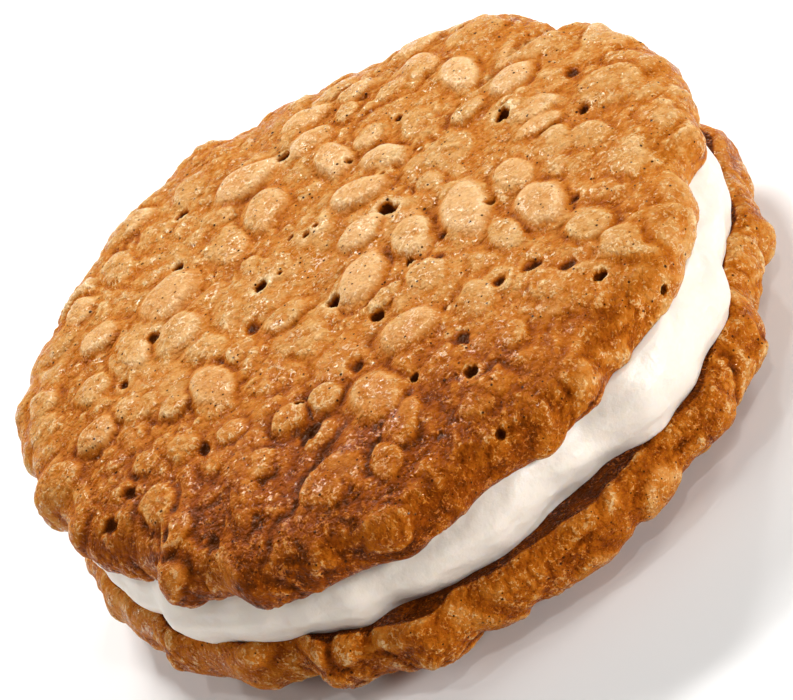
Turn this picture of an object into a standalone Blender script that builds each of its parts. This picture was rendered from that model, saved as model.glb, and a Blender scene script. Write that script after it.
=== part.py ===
"""Oatmeal cream pie: a disc of white cream pressed between two soft, lumpy oatmeal cookies.

The two cookies have their flat baked undersides against the cream, so the lower one lies on its crown.
Run it with: blender --background --python part.py
"""

import math
import random

import bmesh
import bpy
from mathutils import Vector, noise

MM = 0.001

# Driving dimensions, in millimetres.
COOKIE_RADIUS = 41.6
TOP_THICKNESS = 8.9
BOTTOM_THICKNESS = 9.6
CREAM_THICKNESS = 8.6
CREAM_RADIUS = 38.6
CREAM_BULGE = 1.9
CREAM_STEPS = 84
GAP = 0.3  # left between pieces that touch
TOP_OFFSET = (-0.6, 0.5)
BOTTOM_OFFSET = (0.5, -0.5)

# How a cookie is turned: the crown is a flattened dome and the edge tucks under the rim.
RIM_SHARE = 0.27  # height of the widest ring, as a share of the thickness
CROWN_POWER = 3.0  # 2 is an ellipse, and more makes a flatter crown
TUCK = 1.6
COOKIE_RINGS = 22

# What the lower cookie has lost where it lies on a plate.
REST_DEPTH = 0.45

# Oat flakes in the upper crown: centre x and y, length, width in millimetres, and turn in degrees.
CROWN_FLAKES = (
    (3.0, -18.6, 8.6, 7.6, 0),
    (-3.0, -25.4, 9.6, 6.2, 100),
    (2.4, -5.4, 10.0, 6.0, 52),
    (4.8, 1.6, 6.8, 5.4, 10),
    (8.2, -4.8, 6.6, 5.6, 70),
    (15.2, -6.4, 10.2, 6.6, 82),
    (21.2, -12.8, 11.0, 8.4, 75),
    (-17.8, -5.6, 8.6, 6.2, 80),
    (-16.5, 15.0, 8.4, 7.6, 30),
    (-16.8, 7.0, 7.8, 7.0, 90),
    (-31.2, 1.2, 7.4, 6.0, 40),
    (-25.0, 17.0, 6.6, 5.6, 0),
    (7.2, 9.0, 7.4, 4.8, -28),
    (27.0, 9.4, 6.6, 5.8, 0),
    (27.0, 2.4, 6.8, 5.0, -20),
    (22.2, 16.6, 7.4, 5.2, 110),
    (-1.8, 18.0, 8.4, 7.2, 60),
    (-3.6, 25.2, 8.6, 5.6, 0),
    (9.4, 18.2, 8.2, 7.4, 45),
    (-14.4, -30.6, 6.6, 5.4, 115),
    (17.4, -25.6, 6.8, 5.8, 90),
    (-32.4, -16.6, 8.6, 6.6, 105),
    (33.2, -12.2, 7.0, 6.0, 80),
)
SCATTERED_FLAKES = 46  # on each cookie, over the crown and rim
FLAKE_RISE = 0.95


def evenly_spaced(points, count):
    """The 2D line through points, cut into count equal lengths."""
    runs = [0.0]
    for before, after in zip(points, points[1:]):
        runs.append(runs[-1] + math.dist(before, after))
    spaced = []
    segment = 0
    for step in range(count + 1):
        along = runs[-1] * step / count
        while segment < len(points) - 2 and runs[segment + 1] < along:
            segment += 1
        share = (along - runs[segment]) / (runs[segment + 1] - runs[segment])
        near, far = points[segment], points[segment + 1]
        spaced.append(tuple(a + (b - a) * share for a, b in zip(near, far)))
    return spaced


def cookie_profile(thickness):
    """Radius and height down a cookie's outer side, from the crown's centre to the foot of the tuck."""
    rim_height = thickness * RIM_SHARE
    power = 2 / CROWN_POWER
    quarter = [math.radians(90 - degree) for degree in range(91)]
    crown = [
        (
            COOKIE_RADIUS * max(math.cos(turn), 0.0) ** power,
            rim_height + (thickness - rim_height) * math.sin(turn) ** power,
        )
        for turn in quarter
    ]
    tuck = [
        (COOKIE_RADIUS - TUCK * (1 - math.cos(turn)), rim_height * (1 - math.sin(turn)))
        for turn in reversed(quarter)
    ]
    return evenly_spaced(crown + tuck[1:], COOKIE_RINGS)


def disc_place(x, y):
    """Where a square grid's point, from -1 to 1 each way, goes on a disc: its ring, counted outwards, and turn."""
    ring = round(max(abs(x), abs(y)) * COOKIE_RINGS)
    if ring == 0:
        return 0, 0.0
    if abs(x) >= abs(y):
        return ring, math.pi / 4 * y / x + (math.pi if x < 0 else 0)
    return ring, math.pi / 2 - math.pi / 4 * x / y + (math.pi if y < 0 else 0)


def crown_point(thickness, across, turn):
    """A point on the crown or rim, across the crown by a share of the radius, and the outward normal there."""
    rim_height = thickness * RIM_SHARE
    depth = thickness - rim_height
    height = depth * max(1 - across**CROWN_POWER, 0.0) ** (1 / CROWN_POWER)
    slope_out = across ** (CROWN_POWER - 1) / COOKIE_RADIUS
    slope_up = (height / depth) ** (CROWN_POWER - 1) / depth
    outward = Vector((math.cos(turn), math.sin(turn), 0))
    point = outward * (across * COOKIE_RADIUS) + Vector((0, 0, rim_height + height))
    normal = (outward * slope_out + Vector((0, 0, slope_up))).normalized()
    return point, normal


class Flake:
    """An oat flake under the cookie's skin: an oval on the surface that lifts it."""

    def __init__(self, place, length, width, turn, rise):
        self.centre, self.normal = place
        sideways = Vector((math.cos(turn), math.sin(turn), 0))
        self.along = (sideways - self.normal * sideways.dot(self.normal)).normalized()
        self.across = self.normal.cross(self.along)
        self.half_length = length / 2
        self.half_width = width / 2
        self.rise = rise

    def lift(self, point):
        """How far the flake lifts the surface at this point, most at its middle."""
        offset = point - self.centre
        if offset.length > self.half_length * 1.3:
            return 0.0
        reach = math.hypot(
            offset.dot(self.along) / self.half_length,
            offset.dot(self.across) / self.half_width,
        )
        return self.rise * (1 - min(reach, 1.0) ** 2)


def scattered_flakes(thickness, seed):
    """Flakes that lie as they fell, most of them towards the rim."""
    draw = random.Random(seed)
    flakes = []
    for _ in range(SCATTERED_FLAKES):
        across = 1 - 0.32 * draw.random() ** 1.4
        place = crown_point(thickness, across, math.tau * draw.random())
        length = draw.uniform(5.0, 9.0)
        width = length * draw.uniform(0.6, 0.9)
        rise = FLAKE_RISE * draw.uniform(0.6, 1.5)
        flakes.append(Flake(place, length, width, math.tau * draw.random(), rise))
    return flakes


def crown_flakes(thickness):
    flakes = []
    for x, y, length, width, turn in CROWN_FLAKES:
        across = math.hypot(x, y) / COOKIE_RADIUS
        place = crown_point(thickness, across, math.atan2(y, x))
        flakes.append(Flake(place, length, width, math.radians(turn), FLAKE_RISE))
    return flakes


def material(name, colour, roughness):
    finish = bpy.data.materials.new(name)
    finish.use_nodes = True
    shader = finish.node_tree.nodes["Principled BSDF"]
    shader.inputs["Base Color"].default_value = (*colour, 1)
    shader.inputs["Roughness"].default_value = roughness
    shader.inputs["Metallic"].default_value = 0
    return finish


def pressed(name, thickness, collection):
    """A smooth cookie: a square grid wrapped over the crown and rim, and closed by one flat underside."""
    profile = cookie_profile(thickness)
    cuts = 2 * COOKIE_RINGS
    bpy.ops.mesh.primitive_grid_add(x_subdivisions=cuts, y_subdivisions=cuts, size=2)
    cookie = bpy.context.object
    bpy.context.collection.objects.unlink(cookie)
    collection.objects.link(cookie)
    cookie.name = cookie.data.name = name
    for vertex in cookie.data.vertices:
        ring, turn = disc_place(vertex.co.x, vertex.co.y)
        radius, height = profile[ring]
        spot = (radius * math.cos(turn), radius * math.sin(turn), height)
        vertex.co = Vector(spot) * MM
    shell = bmesh.new()
    shell.from_mesh(cookie.data)
    bmesh.ops.holes_fill(shell, edges=shell.edges, sides=0)
    bmesh.ops.recalc_face_normals(shell, faces=shell.faces)
    shell.to_mesh(cookie.data)
    shell.free()
    return cookie


def turned(name, profile, collection):
    """A closed solid turned about Z from its profile, which runs down the outer side, made a plain mesh."""
    line = bpy.data.meshes.new(name + "_profile")
    corners = [(radius * MM, 0, height * MM) for radius, height in profile]
    line.from_pydata(corners, [(i, i + 1) for i in range(len(corners) - 1)], [])
    guide = bpy.data.objects.new(name + "_profile", line)
    collection.objects.link(guide)
    screw = guide.modifiers.new("Turn", "SCREW")
    screw.steps = CREAM_STEPS
    screw.render_steps = CREAM_STEPS
    screw.use_merge_vertices = True
    screw.merge_threshold = 0.00001
    graph = bpy.context.evaluated_depsgraph_get()
    mesh = bpy.data.meshes.new_from_object(guide.evaluated_get(graph))
    mesh.name = name
    bpy.data.objects.remove(guide)
    made = bpy.data.objects.new(name, mesh)
    collection.objects.link(made)
    return made


def puffed(point, size, seed):
    """A smooth random value from -1 to 1, which changes over about size millimetres."""
    return noise.noise(point / size + Vector((seed, 2 * seed, 3 * seed)))


def make_cookie(name, thickness, flakes, seed, collection, finish):
    """A lumpy cookie, crown up, with its flat underside at z = 0."""
    cookie = pressed(name, thickness, collection)
    normals = [normal.vector.copy() for normal in cookie.data.vertex_normals]
    for vertex, normal in zip(cookie.data.vertices, normals):
        point = vertex.co / MM
        outward = Vector((point.x, point.y, 0))
        lift = max(flake.lift(point) for flake in flakes)
        lift += 0.65 * puffed(point, 7.0, seed) + 0.25 * puffed(point, 4.0, seed)
        wander = outward.normalized() * (0.9 * puffed(outward, 24.0, seed))
        moved = point + normal * lift + wander
        moved.z = 0.0 if point.z < 0.01 else max(moved.z, 0.0)
        vertex.co = moved * MM
    cookie.data.materials.append(finish)
    cookie.data.shade_smooth()
    return cookie


def rest_flat(cookie, crown_height):
    """Flattens the crown where the lower cookie lies on it."""
    for vertex in cookie.data.vertices:
        vertex.co.z = min(vertex.co.z, crown_height * MM)


def make_cream(name, collection, finish):
    """The cream: level against both cookies, with a bulging side in soft, uneven lobes."""
    half = CREAM_THICKNESS / 2 - GAP
    side = [
        (CREAM_RADIUS + CREAM_BULGE * math.cos(turn), half * math.sin(turn))
        for turn in (math.radians(90 - 18 * step) for step in range(11))
    ]
    top = [(0.0, half), (CREAM_RADIUS * 0.5, half)]
    bottom = [(CREAM_RADIUS * 0.5, -half), (0.0, -half)]
    cream = turned(name, top + side + bottom, collection)
    for vertex in cream.data.vertices:
        point = vertex.co / MM
        outward = Vector((point.x, point.y, 0))
        if outward.length < CREAM_RADIUS * 0.6:
            continue
        lobes = 0.9 * puffed(outward, 13.0, 5) + 0.5 * puffed(point, 6.0, 9)
        vertex.co = (point + outward.normalized() * lobes) * MM
    cream.data.materials.append(finish)
    cream.data.shade_smooth()
    return cream


def rest_on_origin(pieces):
    """Shifts every piece sideways so that the middle of their shared box is over the origin."""
    bpy.context.view_layer.update()
    corners = [
        piece.matrix_world @ vertex.co
        for piece in pieces
        for vertex in piece.data.vertices
    ]
    for axis in (0, 1):
        along = [corner[axis] for corner in corners]
        middle = (min(along) + max(along)) / 2
        for piece in pieces:
            piece.location[axis] -= middle


def clear_scene():
    for thing in list(bpy.data.objects):
        bpy.data.objects.remove(thing)


def main():
    clear_scene()
    pie = bpy.data.collections.new("oatmeal_cream_pie")
    bpy.context.scene.collection.children.link(pie)
    crust = material("baked_oat_crust", (0.50, 0.22, 0.07), 0.6)
    filling = material("whipped_cream", (0.86, 0.83, 0.78), 0.45)

    top_flakes = crown_flakes(TOP_THICKNESS) + scattered_flakes(TOP_THICKNESS, 11)
    top = make_cookie("top_cookie", TOP_THICKNESS, top_flakes, 3.7, pie, crust)
    top.location = Vector((*TOP_OFFSET, BOTTOM_THICKNESS + CREAM_THICKNESS)) * MM

    cream = make_cream("cream_filling", pie, filling)
    cream.location.z = (BOTTOM_THICKNESS + CREAM_THICKNESS / 2) * MM

    crown_height = BOTTOM_THICKNESS
    full_thickness = BOTTOM_THICKNESS + REST_DEPTH
    lower_flakes = scattered_flakes(full_thickness, 23)
    bottom = make_cookie("bottom_cookie", full_thickness, lower_flakes, 8.2, pie, crust)
    rest_flat(bottom, crown_height)
    bottom.rotation_euler = (math.pi, 0, 0)
    bottom.location = Vector((*BOTTOM_OFFSET, crown_height)) * MM

    rest_on_origin([top, cream, bottom])


main()
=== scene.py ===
import math
import random

import bmesh
import bpy
from mathutils import Matrix, Vector, kdtree, noise


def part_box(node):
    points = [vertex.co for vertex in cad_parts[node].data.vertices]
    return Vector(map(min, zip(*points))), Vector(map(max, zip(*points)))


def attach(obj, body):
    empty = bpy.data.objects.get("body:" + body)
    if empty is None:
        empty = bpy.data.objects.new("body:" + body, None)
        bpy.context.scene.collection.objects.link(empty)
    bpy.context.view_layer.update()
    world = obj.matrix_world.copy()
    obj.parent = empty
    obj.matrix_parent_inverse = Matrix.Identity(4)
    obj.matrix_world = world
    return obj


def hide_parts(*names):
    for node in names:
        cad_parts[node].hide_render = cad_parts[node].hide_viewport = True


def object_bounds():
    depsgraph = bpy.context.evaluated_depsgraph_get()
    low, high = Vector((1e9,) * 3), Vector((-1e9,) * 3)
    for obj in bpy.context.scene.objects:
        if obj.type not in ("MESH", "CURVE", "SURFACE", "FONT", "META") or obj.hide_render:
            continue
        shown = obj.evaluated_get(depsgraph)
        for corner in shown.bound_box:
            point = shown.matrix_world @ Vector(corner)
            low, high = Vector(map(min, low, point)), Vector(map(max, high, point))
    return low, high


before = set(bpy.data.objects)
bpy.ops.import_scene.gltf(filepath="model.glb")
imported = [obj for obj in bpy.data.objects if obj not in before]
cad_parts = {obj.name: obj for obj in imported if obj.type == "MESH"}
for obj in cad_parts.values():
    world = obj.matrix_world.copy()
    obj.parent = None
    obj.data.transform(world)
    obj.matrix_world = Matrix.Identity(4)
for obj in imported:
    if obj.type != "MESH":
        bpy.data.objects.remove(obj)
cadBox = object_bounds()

mm = 0.001  # shapes are worked out in millimetres, and put in place in metres
cadMiddle = (cadBox[0] + cadBox[1]) / 2
print("frame loaded, nodes:", ", ".join(sorted(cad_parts)))


def smoothStep(low, high, value):
    # 0 up to low, 1 from high on, and eased between them
    share = min(max((value - low) / (high - low), 0.0), 1.0)
    return share * share * (3 - 2 * share)


def smoothMax(first, second, blend):
    # the greater of two heights, rounded off where they meet
    return (first + second + math.sqrt((first - second) ** 2 + blend * blend)) / 2


# rounded pebbles of dough
pebbleShape = {
    "crease": 0.6,         # how wide the creases between them are, as a share of their size
    "lowest": 0.65,        # height of the lowest one, where the tallest is 1
    "bend": 0.35,          # how far they are bent out of true, as a share of their size
    "bendPace": 1.3,       # how quickly the bend changes from place to place
    "pick": 9.7,           # spreads their middles apart, so that each draws a height of its own
    "seed": 4,             # without one, the bend would change from run to run
}
noise.seed_set(pebbleShape["seed"])


def pebble(point, size, seed):
    # 0 in the creases between pebbles of this size, and up to 1 on top of the tallest
    bend = noise.noise_vector(point / size * pebbleShape["bendPace"]) * pebbleShape["bend"]
    distances, middles = noise.voronoi(point / size + bend + Vector((seed, 2 * seed, 3 * seed)))
    lowest = pebbleShape["lowest"]
    tall = lowest + (1 - lowest) * noise.cell(middles[0] * pebbleShape["pick"])
    return smoothStep(0, pebbleShape["crease"], distances[1] - distances[0]) * tall


def drift(point, size, seed):
    # smooth noise of this size, from about -1 to 1
    return noise.noise(point / size + Vector((3 * seed, seed, 2 * seed)))


def lumpAt(point, lumps):
    # how high soft lumps of a given size, height and seed stand here
    size, height, seed = lumps
    return height * drift(point, size, seed)


def flatTurn(turn):
    # the outward direction at this turn about the upright axis
    return Vector((math.cos(turn), math.sin(turn), 0))


# a drop cookie: nearly flat on top, widest low down, with its foot pulled in underneath
cookieShape = {
    "rimShare": 0.27,      # height of the widest ring, as a share of the thickness
    "crownPower": 3.0,     # 2 is an ellipse, more is a flatter crown
    "tuck": 1.6,           # how far the foot pulls in under the rim
    "rings": 148,          # rows of faces from the crown's middle to the foot
    "outlineBand": (0.45, 0.85),   # between which rings the outline takes hold, as a share of all
    "droopBand": (0.82, 1.0),      # the same for what droops
    "waver": (5, 0.5),     # size of small bends in the outline, and how far they go
    "sag": (6, 0.6),       # the same up and down, at the foot
    "footRows": (0.35, 0.35, 0.4, 0.5, 0.7, 1.0, 1.6),  # rows on the flat underside, inwards
    "footTurn": 0.15,      # how much of the way to flat the first of these rows goes
    "footSettle": 0.35,    # and each row after it
    "footLump": (2.5, 0.25),       # size and height of the underside's lumps
    "footCrumb": (1, 0.1),
}


def profileOf(radius, thickness):
    # radius, height and outward slope of each ring, evenly spaced from the crown's middle to the foot
    rimHeight = thickness * cookieShape["rimShare"]
    power = 2 / cookieShape["crownPower"]
    line = []
    for halfDegree in range(181):
        turn = math.radians(halfDegree / 2)
        reach = radius * math.sin(turn) ** power
        line.append((reach, rimHeight + (thickness - rimHeight) * max(math.cos(turn), 0) ** power))
    for degree in range(1, 91):
        turn = math.radians(degree)
        line.append((radius - cookieShape["tuck"] * (1 - math.cos(turn)), rimHeight * (1 - math.sin(turn))))
    runs = [0.0]
    for before, after in zip(line, line[1:]):
        runs.append(runs[-1] + math.dist(before, after))
    rings = []
    segment = 0
    for step in range(cookieShape["rings"] + 1):
        along = runs[-1] * step / cookieShape["rings"]
        while segment < len(line) - 2 and runs[segment + 1] < along:
            segment += 1
        near, far = line[segment], line[segment + 1]
        share = (along - runs[segment]) / (runs[segment + 1] - runs[segment])
        slope = Vector((near[1] - far[1], far[0] - near[0])).normalized()
        reach = near[0] + (far[0] - near[0]) * share
        rings.append((reach, near[1] + (far[1] - near[1]) * share, slope))
    rings[0] = (0.0, thickness, Vector((0.0, 1.0)))
    return rings


def edgeAt(edge, degrees):
    # the outline's stand-out at this turn, eased from one given place to the next
    for index, (after, out) in enumerate(edge):
        if degrees < after:
            break
    else:
        after, out = edge[0][0] + 360, edge[0][1]
        index = 0
    before, start = edge[index - 1]
    if before > degrees:
        before -= 360
    return start + (out - start) * smoothStep(before, after, degrees)


def discPlace(x, y):
    # where a square grid's point goes on a disc: its ring, counted outwards, and its turn
    ring = round(max(abs(x), abs(y)) * cookieShape["rings"])
    if ring == 0:
        return 0, 0.0
    if abs(x) >= abs(y):
        return ring, math.pi / 4 * y / x + (math.pi if x < 0 else 0)
    return ring, math.pi / 2 - math.pi / 4 * x / y + (math.pi if y < 0 else 0)


def crownPlace(radius, thickness, across, turn):
    # a point on the crown, across it by a share of the radius, and the outward normal there
    rimHeight = thickness * cookieShape["rimShare"]
    power = cookieShape["crownPower"]
    depth = thickness - rimHeight
    height = depth * max(1 - across ** power, 0.0) ** (1 / power)
    outward = flatTurn(turn)
    up = Vector((0, 0, (height / depth) ** (power - 1) / depth))
    point = outward * across * radius + Vector((0, 0, rimHeight + height))
    return point, (outward * across ** (power - 1) / radius + up).normalized()


# soft dough, in lumps of four sizes: their size, and how high they stand
doughShape = {
    "swell": (11, 0.45),
    "lump": (5.6, 0.6),
    "lumpAtRim": 0.16,     # how much higher the lumps stand at the rim
    "rimBand": (0.6, 0.98),        # between which shares of the radius they get higher
    "crumb": (2.4, 0.2),
    "fine": (1.15, 0.22),
    "roughPatch": 7,       # size of the patches where crumb and fine lumps stand out
    "roughBand": (-0.6, 0.3),
}


def doughAt(point, radius, seed):
    # how high the dough stands above the plain cookie here
    (swellSize, swell), (lumpSize, lump) = doughShape["swell"], doughShape["lump"]
    (crumbSize, crumb), (fineSize, fine) = doughShape["crumb"], doughShape["fine"]
    lump += doughShape["lumpAtRim"] * smoothStep(*doughShape["rimBand"], point.xy.length / radius)
    lumps = swell * drift(point, swellSize, seed) + lump * pebble(point, lumpSize, seed)
    rough = smoothStep(*doughShape["roughBand"], drift(point, doughShape["roughPatch"], seed + 3))
    return lumps + rough * (crumb * pebble(point, crumbSize, seed) + fine * pebble(point, fineSize, seed))


# rolled oats, set into the dough, which covers part of them
flakeShape = {
    # scattered flakes draw their own values from these ranges
    "length": (4.5, 8.5),
    "width": (0.65, 0.95),         # as a share of the length
    "rise": (0.4, 0.8),
    "bare": (0, 0.5),      # share that the dough leaves bare
    "crowding": 1.4,       # 1 spreads them evenly from the edge inwards, more crowds them at the edge
    "riseMidway": 0.5,     # how much of their rise they keep in the crown's middle
    # all flakes draw these
    "tilt": (-0.2, 0.2),   # how much higher one end, and one side, is than the middle
    "wobble": (0, 90),     # a seed for its own outline and cover
    # and share these
    "stand": 1.3,          # height of a flake's middle, as a share of its rise
    "dome": 0.35,          # how much lower the edge is than the middle
    "edgeDrop": 0.8,       # how far the edge then drops into the dough, and over which shares of its size
    "edgeBand": (0.66, 1.15),
    "ragged": (1.3, 0.14), # how closely bends in the outline follow each other, and how far they go
    "grain": (0.9, 0.04),  # size and height of the unevenness in its face
    "ripple": (2.2, 0.06),
    "coverPatch": 1.7,     # size of the patches of dough over it
    "cover": (0.75, 1.5),  # how far they spread over a covered flake, and what a bare one takes off that
    "coverBand": (-0.25, 0.35),
    "coverLumps": (0.12, 0.14),    # height of crumb and fine lumps on those patches
    "coverSink": 0.1,      # how far the flake is sunk under them
    "leastSeen": 0.4,      # how much of a covered flake's colour is seen, between patches
    "seenBand": (-0.05, 0.12),     # how high above the dough a flake starts to be seen, and is seen fully
    "moat": (1.15, 0.2),   # where the groove around a flake is deepest, and its half width
    "moatDepth": (0.02, 0.18),     # of a covered flake, and what a bare one adds
    "moatPatch": 4,        # size of the stretches where the groove shows
    "moatBand": (-0.3, 0.35),
    "meltIn": 0.3,         # how softly flakes and dough run into each other
}


def flakesOf(cookie, radius, thickness):
    # each flake's middle, normal, direction, half length and width, rise, bare share, tilt and wobble
    draw = random.Random(cookie["scatterSeed"])
    midway = flakeShape["riseMidway"]
    laid = []
    for _ in range(cookie["scattered"]):
        across = 1 - cookie["spread"] * draw.random() ** flakeShape["crowding"]
        middle, normal = crownPlace(radius, thickness, across, math.tau * draw.random())
        length = draw.uniform(*flakeShape["length"])
        width = length * draw.uniform(*flakeShape["width"])
        rise = draw.uniform(*flakeShape["rise"]) * (midway + (1 - midway) * across ** 2)
        turn = math.tau * draw.random()
        laid.append((middle, normal, turn, length, width, rise, draw.uniform(*flakeShape["bare"])))
    for x, y, length, width, degrees, rise, bare in cookie["flakes"]:
        middle, normal = crownPlace(radius, thickness, math.hypot(x, y) / radius, math.atan2(y, x))
        laid.append((middle, normal, math.radians(degrees), length, width, rise, bare))
    flakes = []
    for middle, normal, turn, length, width, rise, bare in laid:
        sideways = flatTurn(turn)
        along = (sideways - normal * sideways.dot(normal)).normalized()
        tilt = (draw.uniform(*flakeShape["tilt"]), draw.uniform(*flakeShape["tilt"]))
        wobble = draw.uniform(*flakeShape["wobble"])
        flakes.append((middle, normal, along, length / 2, width / 2, rise, bare, tilt, wobble))
    return flakes


def layFlakes(flakes, seed, tree, dough, flakeTop, oat):
    # raises each flake's own face over the points that it covers, and digs the groove around it
    bendPace, ragged = flakeShape["ragged"]
    edgeStart, edgeEnd = flakeShape["edgeBand"]
    (grainSize, grain), (rippleSize, ripple) = flakeShape["grain"], flakeShape["ripple"]
    covering, bareness = flakeShape["cover"]
    crumb, fine = flakeShape["coverLumps"]
    crumbSize, fineSize = doughShape["crumb"][0], doughShape["fine"][0]
    seen = flakeShape["leastSeen"]
    moatPlace, moatWidth = flakeShape["moat"]
    moatDepth, bareDepth = flakeShape["moatDepth"]
    for middle, normal, along, halfLength, halfWidth, rise, bare, tilt, wobble in flakes:
        sideways = normal.cross(along)
        for place, index, _ in tree.find_range(middle, halfLength * (moatPlace + moatWidth)):
            offset = place - middle
            u = offset.dot(along) / halfLength
            v = offset.dot(sideways) / halfWidth
            outline = 1 + ragged * noise.noise(Vector((bendPace * u, bendPace * v, wobble)))
            reach = math.hypot(u, v) / outline
            patch = drift(place, flakeShape["coverPatch"], wobble)
            covered = smoothStep(*flakeShape["coverBand"], patch + covering - bareness * bare)
            top = flakeShape["stand"] * rise + tilt[0] * u + tilt[1] * v - flakeShape["dome"] * reach ** 2
            top -= flakeShape["edgeDrop"] * smoothStep(edgeStart, edgeEnd, reach)
            top += grain * drift(place, grainSize, wobble) + ripple * drift(place, rippleSize, wobble)
            lumps = fine * pebble(place, fineSize, seed) + crumb * pebble(place, crumbSize, seed)
            top += covered * (lumps - flakeShape["coverSink"])
            if reach < edgeEnd and top > flakeTop[index]:
                flakeTop[index] = top
                oat[index] = (1 - covered) * (seen + (1 - seen) * bare)
            moat = 1 - abs(reach - moatPlace) / moatWidth
            if moat > 0:
                shows = smoothStep(*flakeShape["moatBand"], drift(place, flakeShape["moatPatch"], wobble))
                dough[index] -= (moatDepth + bareDepth * bare) * moat * shows


# holes where steam came out
poreShape = {
    "steepBand": (0.6, 1.3),       # depths, in radii, at which walls start to be steep, and are steepest
    "bottom": 0.5,         # how far out the steepest one's bottom goes, as a share of the radius
    "brim": 1.15,          # where the walls meet the dough
    "ragged": (0.9, 0.35), # size of the bends in the outline, and how far they go
    "search": 1.4,         # how far out points are looked for, as a share of the radius
    "holeShade": 0.3,        # how much painted shade a hole gets with each millimetre of depth
}


def sinkPores(pores, radius, thickness, tree, dough, flakeTop, pit):
    # sinks dough and flakes at each hole, and notes its depth
    bendSize, ragged = poreShape["ragged"]
    for x, y, size, depth in pores:
        middle, _ = crownPlace(radius, thickness, min(math.hypot(x, y) / radius, 1), math.atan2(y, x))
        bottom = smoothStep(*poreShape["steepBand"], depth / size) * poreShape["bottom"]
        for place, index, away in tree.find_range(middle, size * poreShape["search"]):
            share = away / size * (1 + ragged * drift(place, bendSize, x))
            hole = depth * (1 - smoothStep(bottom, poreShape["brim"], share))
            dough[index] -= hole
            flakeTop[index] -= hole
            pit[index] = max(pit[index], hole)


def hollowsOf(shell, height, rounds=10):
    # how far each point is below those around it, averaged in several rounds
    neighbours = [[edge.other_vert(vert).index for edge in vert.link_edges] for vert in shell.verts]
    blurred = height[:]
    for _ in range(rounds):
        sums = [own + sum(blurred[other] for other in near) for own, near in zip(blurred, neighbours)]
        blurred = [total / (1 + len(near)) for total, near in zip(sums, neighbours)]
    return [blur - own for blur, own in zip(blurred, height)]


def closeUnderside(shell, seed):
    # the flat baked underside, row by row inwards, closed in the middle where the cream hides it
    (lumpSize, lump), (crumbSize, crumb) = cookieShape["footLump"], cookieShape["footCrumb"]
    edges = [edge for edge in shell.edges if edge.is_boundary]
    for step, row in enumerate(cookieShape["footRows"]):
        made = bmesh.ops.extrude_edge_only(shell, edges=edges)["geom"]
        edges = [item for item in made if isinstance(item, bmesh.types.BMEdge)]
        settle = cookieShape["footSettle"] if step > 0 else cookieShape["footTurn"]
        for vert in (item for item in made if isinstance(item, bmesh.types.BMVert)):
            outward = Vector((vert.co.x, vert.co.y, 0)).normalized()
            vert.co -= outward * row
            level = lump * drift(vert.co, lumpSize, seed) + crumb * drift(vert.co, crumbSize, seed)
            vert.co.z += (level - vert.co.z) * settle
    bmesh.ops.holes_fill(shell, edges=edges, sides=0)
    bmesh.ops.recalc_face_normals(shell, faces=shell.faces)


# how the oven browned a cookie, with painted shade on its side away from the lamps and in its dips, beside
# its own values
brownAndShade = {
    "rimBand": (0.25, 1.1),        # how far from the pale spot the brown starts, and is full, in radii
    "sideBand": (0.1, 0.95),       # how far towards the darker side it starts, and is full; that side is browned, and in painted shade
    "lower": 0.24,         # how much darker it is with each millimetre below this height: painted shade in the dips
    "evenHeight": 0.5,
}


def brownAndShadeAt(cookie, place, height, radius):
    # browner away from the pale spot; darker towards the side away from the lamps, browning and painted
    # shade, and lower down, painted shade in the dips
    brownShadedTurn = math.radians(cookie["brownShadedTurn"])
    away = math.hypot(place.x - cookie["paleSpot"][0], place.y - cookie["paleSpot"][1]) / radius
    side = (place.x * math.cos(brownShadedTurn) + place.y * math.sin(brownShadedTurn)) / radius
    low = brownAndShade["lower"] * (brownAndShade["evenHeight"] - height)
    brown = cookie["brownRim"] * smoothStep(*brownAndShade["rimBand"], away)
    return brown + (cookie["brownShadedSide"] * smoothStep(*brownAndShade["sideBand"], side) + low)


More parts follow.
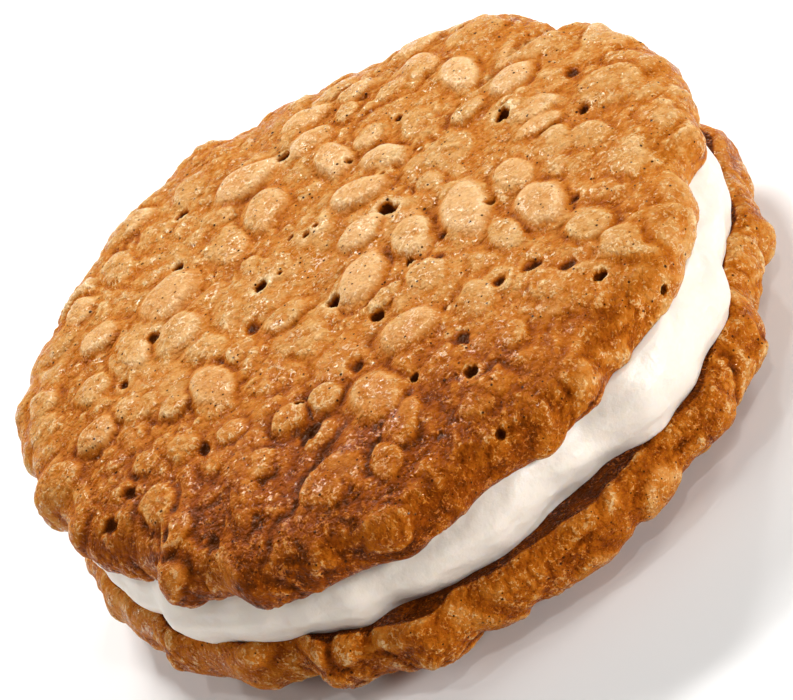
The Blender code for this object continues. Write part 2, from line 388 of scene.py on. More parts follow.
topCookie = {
    "name": "topCookie",
    "node": "top_cookie",
    "seed": 3.7,
    "standsProud": 0.9,    # how far its lumps stand out past the plain round
    "crownRise": 1.1,      # how far its flakes stand above the plain crown
    "scattered": 90,       # flakes scattered over it
    "spread": 0.90,        # how far in from the edge they are scattered, as a share of the radius
    "scatterSeed": 11,
    "flip": False,
    "darker": 0.0,         # how much browner the whole crust is
    "paleSpot": (2, 15),   # middle of the palest part of the crown
    "brownRim": 0.04,      # how much browner the rim is
    "brownShadedSide": 0.6,      # how much darker the side away from the lamps is: browning, and painted shade
    "brownShadedTurn": -118,     # the turn where that side is, in degrees
    # flakes given one by one: middle x and y, length, width, turn in degrees, rise, and share that is bare
    "flakes": [
        (3.2, -19.2, 8.0, 6.6, 0, 0.8, 0.7), (-3.6, -25.6, 9.2, 6.6, 100, 0.75, 0.6),
        (2.6, -6.0, 8.6, 5.6, 55, 0.9, 1.0), (5.2, 1.2, 6.4, 5.2, 10, 0.85, 0.9),
        (9.4, -4.8, 8.0, 5.4, 75, 0.8, 0.5), (15.8, -6.8, 11.0, 6.2, 80, 0.9, 1.0),
        (22.3, -6.4, 6.8, 5.0, 100, 0.75, 0.6), (22.4, -13.4, 8.4, 6.0, 80, 0.8, 0.8),
        (8.4, -13.2, 7.2, 5.8, 100, 0.7, 0.15), (17.6, -14.8, 7.0, 4.6, 90, 0.6, 0.15),
        (3.4, -11.6, 5.4, 3.4, 0, 0.55, 0.2), (30.2, -7.2, 5.8, 4.8, 90, 0.55, 0.3),
        (33.0, -14.2, 6.6, 5.6, 80, 0.65, 0.2), (25.0, -21.0, 6.0, 5.4, 0, 0.7, 0.15),
        (18.0, -26.5, 6.4, 5.4, 90, 0.7, 0.15), (11.2, -21.6, 7.6, 4.8, 90, 0.7, 0.35),
        (26.4, -25.4, 6.0, 5.0, 0, 0.65, 0.1), (11.5, -29.5, 5.0, 4.4, 0, 0.6, 0.1),
        (-17.4, -6.2, 9.0, 5.6, 95, 0.8, 0.8), (-22.0, -4.2, 5.0, 4.4, 0, 0.6, 0.4),
        (-12.4, -19.4, 5.0, 4.4, 0, 0.8, 0.4), (-8.0, -20.2, 5.0, 4.6, 90, 0.7, 0.4),
        (-17.6, -22.0, 5.0, 4.4, 0, 0.7, 0.3), (-13.4, -31.4, 6.6, 5.4, 110, 0.85, 0.35),
        (-6.3, -33.4, 5.6, 4.4, 90, 0.6, 0.25), (-31.0, -17.2, 7.0, 6.0, 105, 0.9, 0.1),
        (-16.2, 14.4, 8.6, 7.6, 30, 0.75, 0.8), (-17.0, 7.0, 7.4, 6.2, 90, 0.7, 0.5),
        (-24.6, 16.6, 5.8, 4.8, 0, 0.7, 0.7), (-22.4, 9.2, 6.6, 4.6, 90, 0.65, 0.5),
        (-28.4, 9.0, 6.0, 5.6, 0, 0.6, 0.4), (-31.0, 1.2, 6.6, 5.0, 30, 0.75, 0.6),
        (-26.4, 1.0, 4.8, 4.4, 0, 0.6, 0.5), (-33.6, 13.8, 5.2, 5.0, 0, 0.65, 0.4),
        (-24.8, 24.6, 5.2, 5.0, 0, 0.65, 0.6), (-18.4, 26.6, 7.6, 4.2, 90, 0.6, 0.4),
        (-1.8, 24.6, 8.6, 5.4, 0, 0.8, 0.8), (-1.8, 17.2, 8.2, 6.0, 70, 0.65, 0.6),
        (7.6, 8.4, 8.0, 5.2, -25, 0.9, 0.8), (12.0, 11.6, 6.6, 4.4, -40, 0.7, 0.7),
        (27.6, 10.0, 5.6, 4.8, 0, 0.85, 1.0), (22.4, 10.0, 5.0, 3.6, 20, 0.55, 0.3),
        (23.8, 16.8, 7.6, 4.6, 110, 0.8, 0.9), (21.4, 24.0, 7.0, 4.0, 95, 0.7, 0.7),
        (17.8, 23.2, 5.0, 4.4, 0, 0.55, 0.4), (7.0, 23.4, 6.6, 5.6, 20, 0.7, 0.6),
        (7.6, 17.4, 7.8, 4.6, 90, 0.75, 0.8), (12.2, 17.0, 5.0, 4.4, 0, 0.55, 0.4),
        (8.2, 29.4, 6.4, 5.0, 10, 0.7, 0.6), (14.4, 28.6, 5.4, 4.6, 0, 0.6, 0.5),
        (27.6, 2.6, 6.0, 5.0, -20, 0.7, 0.5), (27.0, -0.6, 5.6, 3.2, 0, 0.6, 0.7),
        (-15.0, 33.0, 7.6, 5.0, -15, 0.65, 0.4), (-6.6, -3.2, 6.4, 4.6, 0, 0.55, 0.2),
        (-12.6, -3.8, 4.6, 4.4, 0, 0.55, 0.2), (-24.4, -11.8, 5.4, 4.6, 0, 0.65, 0.2),
        (-28.4, -9.4, 5.0, 4.4, 60, 0.6, 0.1),
    ],
    # holes: middle x and y, radius, and depth
    "pores": [
        (-7.0, 4.5, 0.85, 1.6), (-13.2, 18.7, 0.75, 1.4), (25.0, 5.0, 0.9, 1.4),
        (-10.8, -18.3, 0.5, 1.3), (-1.3, -6.2, 1.0, 1.3), (9.0, 3.2, 1.0, 1.3), (9.4, 2.0, 0.9, 1.3),
        (3.3, 24.5, 0.8, 1.2), (-9.5, 27.5, 0.8, 0.9), (6.0, -30.8, 0.9, 1.1), (22.8, -28.5, 0.7, 1.1),
        (1.5, -13.3, 0.9, 0.9), (-11.3, -23.2, 1.6, 0.8), (-10.2, -1.0, 1.4, 0.7),
        (-19.7, 9.3, 0.9, 0.8), (-25.5, 5.8, 1.0, 0.8), (31.3, -2.0, 0.8, 0.7), (32.5, 5.4, 1.2, 0.6),
        (-22.0, -14.3, 1.2, 0.7), (-32.4, -11.3, 1.2, 0.8), (-3.4, -18.6, 1.3, 0.7),
        (14.2, -21.5, 1.1, 0.8), (17.8, -21.8, 1.3, 0.8), (20.6, -24.8, 1.2, 0.8),
        (7.2, -25.6, 1.5, 0.8), (7.6, -8.7, 0.5, 0.8), (18.3, -8.4, 0.6, 0.7), (0.8, -26.4, 0.6, 0.9),
        (-4.4, 4.2, 0.35, 0.7), (-1.2, 9.2, 0.4, 0.7), (0.3, 7.5, 0.45, 0.8), (1.8, 7.6, 0.4, 0.6),
        (8.8, 15.0, 0.4, 0.7), (10.9, 8.7, 0.35, 0.6), (16.0, 16.8, 0.5, 0.6), (27.2, -31.2, 0.5, 1.0),
        (4.6, -39.6, 0.6, 0.9), (-30.0, -21.0, 1.2, 0.7), (-27.0, -27.0, 1.2, 0.7),
        (12.2, -8.0, 1.0, 0.5), (10.6, -11.0, 0.9, 0.5), (25.7, -15.4, 0.7, 0.5),
        (-36.4, -12.6, 1.4, 0.8),
    ],
    # the edge's outline: turn in degrees, and how far it stands out there
    "edge": [
        (0, 2.6), (8, 2.1), (16, 1.1), (20, 2.2), (23, 2.3), (27, -1.6), (31, 0.9), (36, 1.9),
        (41, 2.1), (47, 0.3), (56, -0.5), (64, -1.1), (72, -1.6), (80, -0.4), (87, -1.6), (96, 1.9),
        (104, 0.8), (114, 1.3), (121, 0.4), (128, 0.7), (138, 0.2), (148, 0.7), (153, 1.4), (158, 0.3),
        (168, -0.9), (176, -0.4), (184, -1.9), (192, -0.9), (207, -2.6), (211, -1.9), (217, 1.0),
        (225, -0.1), (232, 2.1), (240, 1.6), (248, 1.2), (256, 1.9), (264, 1.2), (272, -0.4),
        (280, 0.4), (290, 0.8), (297, -0.4), (306, 0.1), (314, 1.3), (321, 0.4), (328, 1.1),
        (336, -0.4), (344, 2.3), (352, 1.9),
    ],
    # lumps that droop over the cream: turn in degrees, width, and drop
    "droops": [(208, 9.0, 1.2), (236, 12.0, 0.6), (256, 7.0, 0.8), (282, 9.0, 0.4)],
}

bottomCookie = {
    "name": "bottomCookie",
    "node": "bottom_cookie",
    "seed": 8.2,
    "standsProud": 0.9,
    "crownRise": 0.0,
    "scattered": 150,
    "spread": 1.0,
    "scatterSeed": 23,
    "flip": True,          # it lies on its crown, with its flat side up
    "darker": 0.02,
    "paleSpot": (4, 4),
    "brownRim": 0.12,
    # its side away from the lamps is darker too: browning, and painted shade
    "brownShadedSide": 0.25,
    "brownShadedTurn": -100,
    "flakes": [],
    "pores": [],
    "edge": [
        (0, 0.8), (8, 2.7), (16, 2.2), (26, 1.0), (38, 1.6), (52, 0.2), (66, 1.2), (80, -0.2),
        (95, 0.9), (110, -0.4), (124, 0.8), (138, 0.0), (152, 1.1), (168, 1.5), (176, 1.2), (184, 0.2),
        (192, -0.4), (200, 0.3), (208, -0.4), (216, 0.3), (224, -2.0), (232, 0.6), (240, 0.6),
        (248, 2.2), (256, 0.1), (264, 0.2), (272, 0.0), (280, 1.2), (288, 0.1), (296, -0.5),
        (304, 2.1), (312, 0.0), (320, 0.8), (328, -1.5), (336, -0.7), (344, 0.7), (352, 0.5),
    ],
    "droops": [],
}


def makeCookie(cookie):
    low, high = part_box(cookie["node"])
    radius = min(high.x - low.x, high.y - low.y) / 2 / mm - cookie["standsProud"]
    thickness = (high.z - low.z) / mm - cookie["crownRise"]
    seed = cookie["seed"]
    rings = profileOf(radius, thickness)
    shell = bmesh.new()
    segments = 2 * cookieShape["rings"]
    bmesh.ops.create_grid(shell, x_segments=segments, y_segments=segments, size=1)
    shell.verts.ensure_lookup_table()
    count = len(shell.verts)

    # the smooth cookie, and each point's outward normal
    normals, ringOf, turnOf = [], [], []
    tree = kdtree.KDTree(count)
    for index, vert in enumerate(shell.verts):
        ring, turn = discPlace(vert.co.x, vert.co.y)
        reach, height, slope = rings[ring]
        outward = flatTurn(turn)
        vert.co = outward * reach + Vector((0, 0, height))
        normals.append(outward * slope[0] + Vector((0, 0, slope[1])))
        ringOf.append(ring)
        turnOf.append(turn)
        tree.insert(vert.co, index)
    tree.balance()

    # how high dough and flakes stand above it, how much oat shows, and how deep the holes are
    dough = [doughAt(vert.co, radius, seed) for vert in shell.verts]
    flakeTop = [-9.0] * count  # far below the dough, where no flake lies
    oat = [0.0] * count
    pit = [0.0] * count
    layFlakes(flakesOf(cookie, radius, thickness), seed, tree, dough, flakeTop, oat)
    sinkPores(cookie["pores"], radius, thickness, tree, dough, flakeTop, pit)
    height = [smoothMax(soft, flake, flakeShape["meltIn"]) for soft, flake in zip(dough, flakeTop)]
    above = [smoothStep(*flakeShape["seenBand"], flake - soft) for soft, flake in zip(dough, flakeTop)]
    oat = [shown * share for shown, share in zip(oat, above)]
    # painted shade: darker where a point lies below those around it, and in the holes
    hollowShade = [hollow + poreShape["holeShade"] * hole for hollow, hole in zip(hollowsOf(shell, height), pit)]

    # browning, with painted shade on the side away from the lamps and in the dips
    browningAndShade = [0.0] * count
    turned = -1 if cookie["flip"] else 1   # a cookie that is turned over has its edge the other way round
    (waverSize, waver), (sagSize, sag) = cookieShape["waver"], cookieShape["sag"]
    for index, vert in enumerate(shell.verts):
        base = vert.co.copy()
        share = ringOf[index] / cookieShape["rings"]
        outward = flatTurn(turnOf[index])
        rim = smoothStep(*cookieShape["outlineBand"], share)
        foot = smoothStep(*cookieShape["droopBand"], share)
        degrees = math.degrees(turnOf[index]) * turned % 360
        out = edgeAt(cookie["edge"], degrees) + waver * drift(outward * radius, waverSize, seed)
        droop = sag * drift(outward * radius, sagSize, seed + 1)
        for middle, width, drop in cookie["droops"]:
            away = abs((degrees - middle + 180) % 360 - 180) * math.tau / 360 * radius
            droop += drop * (1 - smoothStep(0, width / 2, away))
        vert.co = base + normals[index] * height[index] + outward * out * rim - Vector((0, 0, droop * foot))
        browningAndShade[index] = brownAndShadeAt(cookie, Vector((base.x, base.y * turned, 0)), height[index], radius)

    closeUnderside(shell, seed)

    # into place; a turned cookie's lowest lumps are pressed level, where it rests
    spot = Matrix.Translation(Vector(((low.x + high.x) / 2, (low.y + high.y) / 2, low.z)))
    if cookie["flip"]:
        spot = Matrix.Translation(Vector(((low.x + high.x) / 2, (low.y + high.y) / 2, high.z)))
        spot = spot @ Matrix.Rotation(math.pi, 4, "X")
        for vert in shell.verts:
            vert.co.z = min(vert.co.z, thickness)
    bmesh.ops.transform(shell, matrix=spot @ Matrix.Scale(mm, 4), verts=shell.verts)
    piece = finishPiece(shell, cookie["name"])
    # the underside's points come last, and are bare dough at its brownest
    hidden = len(piece.data.vertices) - count
    for name, values, under in (("oat", oat, 0.0), ("browningAndShade", browningAndShade, 1.0), ("hollowShade", hollowShade, 0.0)):
        layer = piece.data.attributes.new(name, "FLOAT", "POINT")
        layer.data.foreach_set("value", values + [under] * hidden)
    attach(piece, "root")
    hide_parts(cookie["node"])
    return piece


def finishPiece(shell, name):
    # the shell as an object at the origin, with its place in its mesh
    mesh = bpy.data.meshes.new(name)
    shell.to_mesh(mesh)
    shell.free()
    mesh.shade_smooth()
    piece = bpy.data.objects.new(name, mesh)
    bpy.context.scene.collection.objects.link(piece)
    print(name, "made:", len(mesh.vertices), "points")
    return piece


# whipped cream, pressed out between the cookies in soft lobes
creamFilling = {
    "name": "creamFilling",
    "node": "cream_filling",
    "turns": 640,          # faces round it
    "rows": 44,            # faces up its side
    "bulge": 1.9,          # how far its side stands out at mid height
    "standsProud": 0.4,    # how far its lobes stand out past that, more or less
    "reachIn": 0.45,       # how far it goes into each cookie, so that no gap shows
    # unevenness in its side: size, height and seed
    "swell": (6, 0.6, 9),
    "dent": (5, 0.36, 4),
    "crease": (1.7, 0.24, 2),
    "stretch": 2,          # how much longer creases are than high
    "ripple": (0.8, 0.06, 5),
    "tip": (8, 0.5, 7),    # its whole side rises and falls
    # its outline: turn in degrees, and how far it stands out there
    "edge": [
        (0, 0.2), (12, 0.8), (24, 0.3), (40, 0.6), (60, -0.4), (80, 0.5), (105, -0.3), (125, 0.6),
        (150, -0.5), (170, 0.3), (186, -0.9), (200, -1.1), (208, 0.8), (216, 0.2), (228, -0.3),
        (240, 0.2), (248, -1.1), (262, -0.4), (271, -1.0), (279, -1.8), (286, -1.8), (299, 1.5),
        (306, 2.0), (313, 1.4), (320, 2.2), (328, -0.1), (336, 0.4), (344, 1.2), (352, 0.7),
    ],
}


def makeCream(cream):
    low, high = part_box(cream["node"])
    half = (high.z - low.z) / 2 / mm
    radius = min(high.x - low.x, high.y - low.y) / 2 / mm - cream["bulge"] - cream["standsProud"]
    shell = bmesh.new()
    side = []
    for row in range(cream["rows"] + 1):
        share = 2 * row / cream["rows"] - 1
        reach = radius + cream["bulge"] * math.cos(share * math.pi / 2)
        side.append(shell.verts.new((reach, 0, share * (half + cream["reachIn"]))))
    edges = [shell.edges.new(pair) for pair in zip(side, side[1:])]
    bmesh.ops.spin(
        shell, geom=side + edges, cent=(0, 0, 0), axis=(0, 0, 1), angle=math.tau, steps=cream["turns"],
        use_merge=True
    )
    for vert in shell.verts:
        outward = Vector((vert.co.x, vert.co.y, 0)).normalized()
        rimPoint = outward * radius
        turn = math.degrees(math.atan2(outward.y, outward.x)) % 360
        out = edgeAt(cream["edge"], turn) + lumpAt(vert.co, cream["swell"])
        lengthwise = Vector((vert.co.x / cream["stretch"], vert.co.y / cream["stretch"], vert.co.z))
        dents = lumpAt(vert.co, cream["dent"]) + lumpAt(lengthwise, cream["crease"])
        dents += lumpAt(vert.co, cream["ripple"])
        vert.co += outward * (out + dents)
        vert.co.z += lumpAt(rimPoint, cream["tip"])
    bmesh.ops.holes_fill(shell, edges=[edge for edge in shell.edges if edge.is_boundary], sides=0)
    bmesh.ops.recalc_face_normals(shell, faces=shell.faces)
    spot = Matrix.Translation((low + high) / 2) @ Matrix.Scale(mm, 4)
    bmesh.ops.transform(shell, matrix=spot, verts=shell.verts)
    piece = finishPiece(shell, cream["name"])
    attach(piece, "root")
    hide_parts(cream["node"])
    return piece


def linear(hexColour):
    # an sRGB hex value as linear red, green, blue and alpha
    parts = [int(hexColour[i:i + 2], 16) / 255 for i in (1, 3, 5)]
    return (*[part / 12.92 if part <= 0.04045 else ((part + 0.055) / 1.055) ** 2.4 for part in parts], 1)


def addNode(tree, kind, settings, sockets):
    # settings are the node's own; each socket is given a value, or linked to another node's output
    node = tree.nodes.new(kind)
    for name, value in settings.items():
        setattr(node, name, value)
    for name, value in sockets.items():
        socket = node.inputs[name]
        if isinstance(value, bpy.types.NodeSocket):
            tree.links.new(value, socket)
        else:
            socket.default_value = value
    return node


def setStops(ramp, stops):
    # a colour ramp's stops: place and hex colour
    elements = ramp.color_ramp.elements
    while len(elements) < len(stops):
        elements.new(0.5)
    for element, (place, colour) in zip(elements, stops):
        element.position = place
        element.color = linear(colour)


def newMaterial(name):
    # a material with its node tree and shader
    finish = bpy.data.materials.new(name)
    finish.use_nodes = True
    tree = finish.node_tree
    return finish, tree, tree.nodes["Principled BSDF"]


def inMillimetres(tree):
    # the place on the piece, in millimetres, which every pattern's scale is worked out from
    coordinates = addNode(tree, "ShaderNodeTexCoord", {}, {})
    return addNode(
        tree, "ShaderNodeMapping", {}, {"Vector": coordinates.outputs["Object"], "Scale": (1 / mm,) * 3}
    ).outputs["Vector"]


# oat dough, baked: soft golden crumb on the crown, caramel brown towards the rim, painted shade in the
# hollows and on the side away from the lamps, paler oat flakes, specks of cinnamon, and beads of melted
# sugar that glint, painted paler as well
crustFinish = {
    # patterns of noise: size in millimetres, detail, and distortion; beads of melted sugar are about
    # 0.1 across, and are drawn coarser, so that they show
    "noises": {
        "patch": (9.0, 2.0, 0.0),      # where the oven browned it more
        "mottle": (1.5, 3.0, 0.5),
        "crumb": (1.0, 2.0, 0.3),      # the open crumb
        "grain": (0.35, 2.0, 0.0),     # flour and bran
        "glaze": (0.22, 1.0, 0.0),     # the beads
        "wrinkle": (0.9, 1.0, 0.6),    # wrinkles that they lie along
    },
    "noiseRoughness": 0.62,
    "granule": 0.55,       # grains of dough, in millimetres, and how far they are bent, in their own size
    "granuleBend": 0.8,
    "reliefShares": {"dip": -0.45, "grain": 0.5},      # what joins the crumb in the relief
    "crumbRelief": 0.55,   # height of the relief, in millimetres
    "onFlakes": -0.3,      # what a bare flake adds to that, as a share
    # beads start where the distance from a wrinkle, with these shares added, falls to the first value,
    # and are whole at the second
    "beadShares": {"grain": -0.35, "mottle": -0.3, "hollowShade": 0.3},
    "beadEdge": (-0.315, -0.34),
    "beadCoat": 0.85,
    "beadRelief": 0.085,   # millimetres
    # how dark it is: 0 on the palest crown, 1 in the darkest hollow, which is painted shade
    "toneStart": 0.29,
    # crumb and grain make the raised crumb paler and its dips darker: painted shade
    "toneShares": {
        "patch": 0.35, "mottle": 0.4, "crumb": -0.2, "grain": -0.15, "beadsAndPaintedGlints": -0.26, "hollowShade": 1.0,
        "browningAndShade": 0.5,
    },
    "dough": [
        (0.0, "#E8C490"), (0.3, "#D2A46C"), (0.45, "#C68C4A"), (0.58, "#BC7022"), (0.7, "#A8580C"),
        (0.85, "#843A02"), (1.0, "#4E1E00"),
    ],
    "flake": [
        (0.0, "#EAC498"), (0.3, "#DAAA74"), (0.5, "#CA9054"), (0.67, "#BA742A"), (0.82, "#A25810"),
        (1.0, "#803C04"),
    ],
    "flakeShows": 0.6,     # how much of its own colour a bare flake shows
    "cinnamon": "#3A1600",
    "speckSpacing": 0.65,  # millimetres
    "speckSize": 0.27,     # radius of the largest, coarser than ground cinnamon, so that it shows
    "speckFew": 2.4,       # more makes large specks rarer
    "speckHard": 2.4,      # more gives a speck a harder edge
    "roughness": (0.6, 0.2),       # of dry and of buttery mottles
    "mottleBand": (0.44, 0.56),
    "sheen": 0.1,          # the crumb is open, so it hardly shines between the beads
    "sheenTint": "#FFD28C",
    "ior": 1.45,
    "beadRoughness": 0.08,
    "beadIor": 1.33,
    # light goes a little way into moist dough
    "inside": 0.5,         # how much of it does
    "insideDepth": 1.2,    # how far, in millimetres, and as a share of that for red, green and blue
    "insideColours": (1.0, 0.75, 0.4),
}


def makeCrust(name, darker):
    finish, tree, shader = newMaterial(name)
    place = inMillimetres(tree)
    layers = {}
    for layer in ("oat", "browningAndShade", "hollowShade"):
        layers[layer] = addNode(tree, "ShaderNodeAttribute", {"attribute_name": layer}, {}).outputs["Fac"]
    for layer, (size, detail, distortion) in crustFinish["noises"].items():
        pattern = {"Vector": place, "Scale": 1 / size, "Detail": detail, "Distortion": distortion}
        pattern["Roughness"] = crustFinish["noiseRoughness"]
        layers[layer] = addNode(tree, "ShaderNodeTexNoise", {}, pattern).outputs["Fac"]

    # dips between grains of dough, which are bent out of line
    granule = crustFinish["granule"]
    bend = addNode(tree, "ShaderNodeTexNoise", {}, {"Vector": place, "Scale": 1 / granule, "Detail": 0.0})
    bent = addNode(
        tree, "ShaderNodeVectorMath", {"operation": "MULTIPLY_ADD"},
        {0: bend.outputs["Color"], 1: (granule * crustFinish["granuleBend"],) * 3, 2: place},
    )
    grains = addNode(tree, "ShaderNodeTexVoronoi", {}, {"Vector": bent.outputs[0], "Scale": 1 / granule})
    away = grains.outputs["Distance"]
    dip = addNode(tree, "ShaderNodeMath", {"operation": "MULTIPLY"}, {0: away, 1: away})
    layers["dip"] = dip.outputs[0]
    rough = layers["crumb"]
    for layer, share in crustFinish["reliefShares"].items():
        rough = addNode(
            tree, "ShaderNodeMath", {"operation": "MULTIPLY_ADD"}, {0: layers[layer], 1: share, 2: rough}
        ).outputs[0]

    # sugar has melted into tiny glassy beads, strung along broken wrinkles, where the noise is at its middle
    level = addNode(tree, "ShaderNodeMath", {"operation": "SUBTRACT"}, {0: layers["wrinkle"], 1: 0.5})
    crest = addNode(tree, "ShaderNodeMath", {"operation": "ABSOLUTE"}, {0: level.outputs[0]}).outputs[0]
    for layer, share in crustFinish["beadShares"].items():
        crest = addNode(
            tree, "ShaderNodeMath", {"operation": "MULTIPLY_ADD"}, {0: layers[layer], 1: share, 2: crest}
        ).outputs[0]
    beadStart, beadFull = crustFinish["beadEdge"]
    layers["beadsAndPaintedGlints"] = addNode(
        tree, "ShaderNodeMapRange", {},
        {"Value": crest, "From Min": beadStart, "From Max": beadFull, "To Max": crustFinish["beadCoat"]},
    ).outputs[0]

    # the beads are painted paler as well as coated: a painted glint
    tone = crustFinish["toneStart"] + darker
    for layer, share in crustFinish["toneShares"].items():
        tone = addNode(
            tree, "ShaderNodeMath", {"operation": "MULTIPLY_ADD"}, {0: layers[layer], 1: share, 2: tone}
        ).outputs[0]
    dough = addNode(tree, "ShaderNodeValToRGB", {}, {"Fac": tone})
    setStops(dough, crustFinish["dough"])
    flake = addNode(tree, "ShaderNodeValToRGB", {}, {"Fac": tone})
    setStops(flake, crustFinish["flake"])
    flaky = addNode(
        tree, "ShaderNodeMath", {"operation": "MULTIPLY"}, {0: layers["oat"], 1: crustFinish["flakeShows"]}
    ).outputs[0]
    surface = addNode(
        tree, "ShaderNodeMix", {"data_type": "RGBA"},
        {"Factor": flaky, 6: dough.outputs[0], 7: flake.outputs[0]},
    )

    # ground cinnamon: each cell holds a round speck, and most are small
    spacing = crustFinish["speckSpacing"]
    cells = addNode(tree, "ShaderNodeTexVoronoi", {}, {"Vector": place, "Scale": 1 / spacing})
    few = addNode(
        tree, "ShaderNodeMath", {"operation": "POWER"},
        {0: cells.outputs["Color"], 1: crustFinish["speckFew"]},
    ).outputs[0]
    edge = addNode(
        tree, "ShaderNodeMath", {"operation": "MULTIPLY"}, {0: few, 1: crustFinish["speckSize"] / spacing}
    ).outputs[0]
    away, hard = cells.outputs["Distance"], crustFinish["speckHard"]
    speck = addNode(
        tree, "ShaderNodeMapRange", {}, {"Value": away, "From Min": edge, "From Max": 0.0, "To Max": hard}
    )
    speckled = addNode(
        tree, "ShaderNodeMix", {"data_type": "RGBA"},
        {"Factor": speck.outputs[0], 6: surface.outputs[2], 7: linear(crustFinish["cinnamon"])},
    )
    tree.links.new(speckled.outputs[2], shader.inputs["Base Color"])

    # flakes are smoother than dough
    strength = addNode(
        tree, "ShaderNodeMath", {"operation": "MULTIPLY_ADD"},
        {0: layers["oat"], 1: crustFinish["onFlakes"], 2: 1.0},
    ).outputs[0]
    crumbBump = addNode(
        tree, "ShaderNodeBump", {},
        {"Strength": strength, "Distance": crustFinish["crumbRelief"] * mm, "Height": rough},
    )
    tree.links.new(crumbBump.outputs[0], shader.inputs["Normal"])
    low, high = crustFinish["mottleBand"]
    dry, buttery = crustFinish["roughness"]
    dullness = addNode(
        tree, "ShaderNodeMapRange", {},
        {"Value": layers["mottle"], "From Min": low, "From Max": high, "To Min": dry, "To Max": buttery},
    )
    tree.links.new(dullness.outputs[0], shader.inputs["Roughness"])
    shader.inputs["Specular IOR Level"].default_value = crustFinish["sheen"]
    shader.inputs["Specular Tint"].default_value = linear(crustFinish["sheenTint"])
    shader.inputs["IOR"].default_value = crustFinish["ior"]

    # the beads are a clear coat with a relief of its own
    beadBump = addNode(
        tree, "ShaderNodeBump", {},
        {"Strength": 1.0, "Distance": crustFinish["beadRelief"] * mm, "Height": layers["glaze"]},
    )
    tree.links.new(beadBump.outputs[0], shader.inputs["Coat Normal"])
    tree.links.new(layers["beadsAndPaintedGlints"], shader.inputs["Coat Weight"])
    shader.inputs["Coat Roughness"].default_value = crustFinish["beadRoughness"]
    shader.inputs["Coat IOR"].default_value = crustFinish["beadIor"]
    shader.inputs["Subsurface Weight"].default_value = crustFinish["inside"]
    shader.inputs["Subsurface Radius"].default_value = crustFinish["insideColours"]
    shader.inputs["Subsurface Scale"].default_value = crustFinish["insideDepth"] * mm
    print(name, "ready:", len(tree.nodes), "nodes")
    return finish


# whipped cream filling: dense, smooth and slightly glossy, with a faintly uneven skin, and soft shadows,
# because light is scattered inside it
creamFinish = {
    "colour": "#E4DACE",
    "uneven": (1.6, 0.2),  # size and height of the unevenness, in millimetres
    "roughness": 0.4,
    "ior": 1.45,
    "inside": 1.0,         # how much of the light goes in
    "insideDepth": 0.7,    # how far, in millimetres, and as a share of that for red, green and blue
    "insideColours": (1.0, 0.8, 0.6),
}


def makeWhippedCream():
    finish, tree, shader = newMaterial("whippedCream")
    size, height = creamFinish["uneven"]
    uneven = addNode(
        tree, "ShaderNodeTexNoise", {},
        {"Vector": inMillimetres(tree), "Scale": 1 / size, "Detail": 4.0, "Roughness": 0.6},
    )
    relief = addNode(
        tree, "ShaderNodeBump", {},
        {"Strength": 1.0, "Distance": height * mm, "Height": uneven.outputs["Fac"]},
    )
    tree.links.new(relief.outputs[0], shader.inputs["Normal"])
    shader.inputs["Base Color"].default_value = linear(creamFinish["colour"])
    shader.inputs["Roughness"].default_value = creamFinish["roughness"]
    shader.inputs["IOR"].default_value = creamFinish["ior"]
    shader.inputs["Subsurface Weight"].default_value = creamFinish["inside"]
    shader.inputs["Subsurface Radius"].default_value = creamFinish["insideColours"]
    shader.inputs["Subsurface Scale"].default_value = creamFinish["insideDepth"] * mm
    print(finish.name, "ready:", len(tree.nodes), "nodes")
    return finish


# a wide matte floor in a pale room, and round lamps
studio = {
    "floor": "#F4F3F1",
    "floorRoughness": 0.8,
    "floorSize": 3,        # metres from the middle to each side
    "world": "#FFFFFF",
    "worldStrength": 0.08,
    "away": 0.7,           # metres from the pie's middle to each lamp
    # lamps: turn in degrees from +X towards +Y, height in degrees, width in metres, and power in watts;
    # the wide ones are soft light, and the small ones make the sugar glint
    "lamps": {
        "backSoftbox": (88, 42, 0.2, 3.3),
        "sideSoftbox": (4, 40, 0.2, 0.85),
        "lowReflector": (-45, 15, 0.12, 3.8),
        "leftFill": (190, 35, 0.40, 1.1),
        "sparkleBack": (100, 46, 0.06, 1.2),
        "sparkleRight": (58, 32, 0.06, 0.7),
        "sparkleLeft": (136, 36, 0.06, 0.8),
        "sparkleHigh": (200, 70, 0.06, 0.4),
        "sparkleFront": (-70, 55, 0.05, 0.5),
    },
}


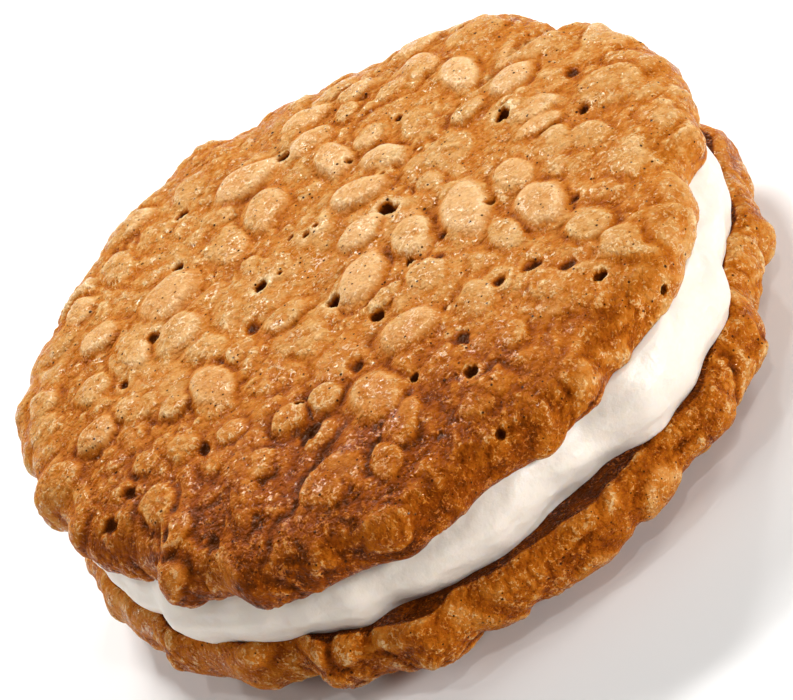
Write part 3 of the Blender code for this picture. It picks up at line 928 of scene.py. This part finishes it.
def makeStudio():
    shell = bmesh.new()
    bmesh.ops.create_grid(shell, x_segments=1, y_segments=1, size=studio["floorSize"])
    floor = finishPiece(shell, "floor")
    paint, _, shader = newMaterial("matteFloor")
    shader.inputs["Base Color"].default_value = linear(studio["floor"])
    shader.inputs["Roughness"].default_value = studio["floorRoughness"]
    floor.data.materials.append(paint)

    # the room gives little light of its own, and looks as pale as the floor
    world = bpy.data.worlds.new("paleRoom")
    bpy.context.scene.world = world
    world.use_nodes = True
    ray = addNode(world.node_tree, "ShaderNodeLightPath", {}, {})
    strength = addNode(
        world.node_tree, "ShaderNodeMapRange", {},
        {"Value": ray.outputs["Is Camera Ray"], "To Min": studio["worldStrength"], "To Max": 1.0},
    )
    sky = world.node_tree.nodes["Background"]
    sky.inputs["Color"].default_value = linear(studio["world"])
    world.node_tree.links.new(strength.outputs["Result"], sky.inputs["Strength"])

    for name, (turn, lift, width, power) in studio["lamps"].items():
        lamp = bpy.data.lights.new(name, "AREA")
        lamp.shape = "DISK"
        lamp.size = width
        lamp.energy = power
        softbox = bpy.data.objects.new(name, lamp)
        bpy.context.scene.collection.objects.link(softbox)
        lift = math.radians(lift)
        towards = flatTurn(math.radians(turn)) * math.cos(lift) + Vector((0, 0, math.sin(lift)))
        softbox.location = cadMiddle + towards * studio["away"]
        softbox.rotation_euler = towards.to_track_quat("Z", "Y").to_euler()
    print("studio lit:", len(studio["lamps"]), "lamps")


# the camera looks down on the pie with a long lens, tilted to one side
cameraSet = {
    "elevation": 33.3,     # degrees
    "roll": 35.7,
    "away": 0.92,          # metres
    "lens": 383.0,         # millimetres
    "nearest": 0.01,       # metres, closer than which nothing shows
    "aside": (0.49, -0.11),    # millimetres to the right and up from the pie's middle
}


def makeCamera():
    lens = bpy.data.cameras.new("camera")
    lens.lens = cameraSet["lens"]
    lens.clip_start = cameraSet["nearest"]
    camera = bpy.data.objects.new("camera", lens)
    bpy.context.scene.collection.objects.link(camera)
    lift, roll = math.radians(cameraSet["elevation"]), math.radians(cameraSet["roll"])
    back = Vector((0, -math.cos(lift), math.sin(lift)))
    level, upright = Vector((1, 0, 0)), Vector((0, math.sin(lift), math.cos(lift)))
    right = level * math.cos(roll) - upright * math.sin(roll)
    up = upright * math.cos(roll) + level * math.sin(roll)
    aim = cadMiddle + (right * cameraSet["aside"][0] + up * cameraSet["aside"][1]) * mm
    facing = Matrix((right, up, back)).transposed().to_4x4()
    camera.matrix_world = Matrix.Translation(aim + back * cameraSet["away"]) @ facing
    bpy.context.scene.camera = camera
    print("camera placed")


upper = makeCookie(topCookie)
lower = makeCookie(bottomCookie)
filling = makeCream(creamFilling)
upper.data.materials.append(makeCrust("bakedOatCrust", topCookie["darker"]))
lower.data.materials.append(makeCrust("bakedOatCrustUnder", bottomCookie["darker"]))
filling.data.materials.append(makeWhippedCream())
makeStudio()
makeCamera()
bpy.context.scene.view_settings.view_transform = "Standard"
